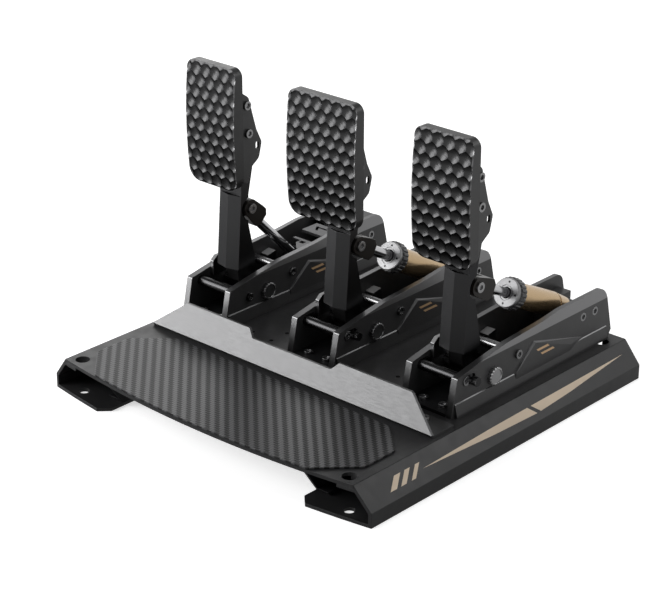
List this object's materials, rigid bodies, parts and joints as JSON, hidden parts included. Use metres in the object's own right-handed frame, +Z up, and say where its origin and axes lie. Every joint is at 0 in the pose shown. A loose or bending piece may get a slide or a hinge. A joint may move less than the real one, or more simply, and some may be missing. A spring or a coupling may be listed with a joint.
{
  "type": "sim racing pedal set",
  "caption": "Sim racing pedal set: clutch, brake and throttle units with sprung hinged arms, rods and cylinders on a folded metal base with a footrest and heel plate.",
  "frame": {"origin": "on the floor, in the middle of the four mounting bolts", "axes": "+X to the driver's right, +Y away from the driver, +Z up"},
  "size_m": [0.361, 0.3677, 0.266],
  "materials": {
    "deck_black": "black powder coat, satin",
    "unit_black": "black anodised, satin",
    "dark_steel": "black zinc, satin",
    "footrest_weave": "woven carbon look, satin lacquer",
    "heel_satin": "brushed grey, satin",
    "pad_black": "black anodised, hexagon dimples",
    "arm_black": "black anodised, satin",
    "bright_steel": "polished",
    "screw_steel": "dark nickel, satin",
    "champagne": "champagne anodised, polished",
    "silver": "machined, satin",
    "puck_rubber": "matte",
    "box_plastic": "matte black",
    "sensor_metal": "satin"
  },
  "bodies": {
    "base": {"deck": "deck_black", "rail_left": "deck_black", "rail_right": "deck_black", "rail_webs": "dark_steel", "footrest_mat": "footrest_weave", "heel_plate": "heel_satin", "frame_screws": "screw_steel", "controller_box": "box_plastic", "clutch_side_left": "unit_black", "clutch_side_right": "unit_black", "clutch_floor": "dark_steel", "clutch_axle": "bright_steel", "clutch_tie_bars": "bright_steel", "clutch_sensor": "sensor_metal", "brake_side_left": "unit_black", "brake_side_right": "unit_black", "brake_floor": "dark_steel", "brake_axle": "bright_steel", "brake_tie_bars": "bright_steel", "brake_sensor": "sensor_metal", "throttle_side_left": "unit_black", "throttle_side_right": "unit_black", "throttle_floor": "dark_steel", "throttle_axle": "bright_steel", "throttle_tie_bars": "bright_steel", "throttle_sensor": "sensor_metal", "clutch_spring": "bright_steel", "clutch_bridge": "silver", "brake_load_cell": "silver", "throttle_rear_block": "unit_black"},
    "clutch_pedal": {"clutch_arm": "arm_black", "clutch_pad_bracket": "unit_black", "clutch_pad": "pad_black", "clutch_pad_screws": "screw_steel"},
    "clutch_link": {"clutch_pin": "screw_steel", "clutch_clevis": "unit_black", "clutch_rod": "bright_steel"},
    "clutch_guide": {"clutch_slider": "dark_steel"},
    "brake_pedal": {"brake_arm": "arm_black", "brake_pad_bracket": "unit_black", "brake_pad": "pad_black", "brake_pad_screws": "screw_steel"},
    "brake_link": {"brake_pin": "screw_steel", "brake_clevis": "unit_black", "brake_rod": "bright_steel"},
    "brake_damper": {"brake_cylinder": "champagne", "brake_eye": "dark_steel", "brake_elastomer": "puck_rubber"},
    "brake_preload_ring": {"brake_adjuster": "silver"},
    "throttle_pedal": {"throttle_arm": "arm_black", "throttle_pad_bracket": "unit_black", "throttle_pad": "pad_black", "throttle_pad_screws": "screw_steel"},
    "throttle_link": {"throttle_pin": "screw_steel", "throttle_clevis": "unit_black", "throttle_rod": "bright_steel"},
    "throttle_damper": {"throttle_cylinder": "champagne", "throttle_eye": "dark_steel", "throttle_spring": "bright_steel"},
    "throttle_preload_ring": {"throttle_adjuster": "silver"}
  },
  "joints": [
    {"name": "clutch_press", "type": "hinge", "parent": "base", "child": "clutch_pedal", "pos_m": [-0.1326, 0.01485, 0.053], "axis": [-1, 0, 0], "range_deg": [0, 25], "stiffness_Nm_per_rad": 20, "springref_deg": -14.32},
    {"name": "clutch_link_turn", "type": "hinge", "parent": "clutch_pedal", "child": "clutch_link", "pos_m": [-0.1326, 0.00925, 0.1295], "axis": [-1, 0, 0], "range_deg": [-12.46, 0]},
    {"name": "clutch_guide_turn", "type": "hinge", "parent": "base", "child": "clutch_guide", "pos_m": [-0.1326, 0.08875, 0.05], "axis": [-1, 0, 0], "range_deg": [0, 13.54]},
    {"name": "brake_press", "type": "hinge", "parent": "base", "child": "brake_pedal", "pos_m": [-0.0048, 0.01485, 0.053], "axis": [-1, 0, 0], "range_deg": [0, 8], "stiffness_Nm_per_rad": 150, "springref_deg": -2.86},
    {"name": "brake_link_turn", "type": "hinge", "parent": "brake_pedal", "child": "brake_link", "pos_m": [-0.0048, 0.00925, 0.1295], "axis": [-1, 0, 0], "range_deg": [-6.52, 0]},
    {"name": "brake_damper_turn", "type": "hinge", "parent": "base", "child": "brake_damper", "pos_m": [-0.0048, 0.15025, 0.0517], "axis": [-1, 0, 0], "range_deg": [0, 2.48], "deforming": ["brake_elastomer"]},
    {"name": "brake_preload_turn", "type": "hinge", "parent": "brake_damper", "child": "brake_preload_ring", "pos_m": [-0.0048, 0.15025, 0.0517], "axis": [0, 0.8756, -0.4831], "continuous": true},
    {"name": "throttle_press", "type": "hinge", "parent": "base", "child": "throttle_pedal", "pos_m": [0.123, 0.01485, 0.053], "axis": [-1, 0, 0], "range_deg": [0, 20], "stiffness_Nm_per_rad": 8, "springref_deg": -11.46},
    {"name": "throttle_link_turn", "type": "hinge", "parent": "throttle_pedal", "child": "throttle_link", "pos_m": [0.123, 0.00925, 0.1295], "axis": [-1, 0, 0], "range_deg": [-16.33, 0]},
    {"name": "throttle_damper_turn", "type": "hinge", "parent": "base", "child": "throttle_damper", "pos_m": [0.123, 0.15025, 0.0607], "axis": [-1, 0, 0], "range_deg": [0, 4.67], "deforming": ["throttle_spring"]},
    {"name": "throttle_preload_turn", "type": "hinge", "parent": "throttle_damper", "child": "throttle_preload_ring", "pos_m": [0.123, 0.15025, 0.0607], "axis": [0, 0.8987, -0.4385], "continuous": true}
  ],
  "couplings": [
    {"joint": "clutch_link_turn", "follows": "clutch_press", "ratio": -0.4784},
    {"joint": "clutch_guide_turn", "follows": "clutch_press", "ratio": 0.5216},
    {"joint": "brake_link_turn", "follows": "brake_press", "ratio": -0.752},
    {"joint": "brake_damper_turn", "follows": "brake_press", "ratio": 0.248},
    {"joint": "throttle_link_turn", "follows": "throttle_press", "ratio": -0.7913},
    {"joint": "throttle_damper_turn", "follows": "throttle_press", "ratio": 0.2087}
  ]
}
